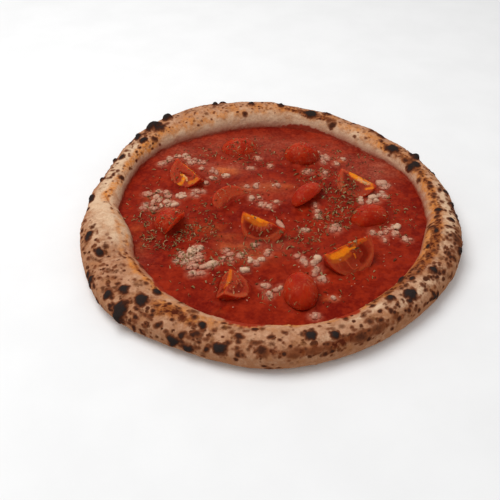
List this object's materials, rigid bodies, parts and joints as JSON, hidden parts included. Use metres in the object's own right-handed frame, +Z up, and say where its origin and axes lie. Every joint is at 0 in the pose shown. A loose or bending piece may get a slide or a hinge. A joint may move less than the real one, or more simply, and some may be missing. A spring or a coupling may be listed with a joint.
{
  "type": "pizza marinara",
  "caption": "Round baked pizza with a puffed, blistered crust, red sauce, cut tomato pieces, chopped garlic and oregano.",
  "frame": {"origin": "centre of the flat underside, under the middle of the pizza's bounding box", "axes": "+Z up out of the sauce, the pizza's thickness; +X to the right and -Y to the front, as it is seen on the table"},
  "size_m": [0.2899, 0.3135, 0.0284],
  "materials": {
    "crust": "baked dough, dry and matt, floury in places, with burnt blisters",
    "sauce": "wet crushed tomato with chopped garlic and dried oregano on it",
    "tomato": "moist cut tomato with smooth skin"
  },
  "bodies": {
    "root": {"crust": "crust", "sauce": "sauce", "tomato_01": "tomato", "tomato_02": "tomato", "tomato_03": "tomato", "tomato_04": "tomato", "tomato_05": "tomato", "tomato_06": "tomato", "tomato_07": "tomato", "tomato_08": "tomato", "tomato_09": "tomato", "tomato_10": "tomato", "tomato_11": "tomato", "tomato_12": "tomato"}
  },
  "joints": []
}
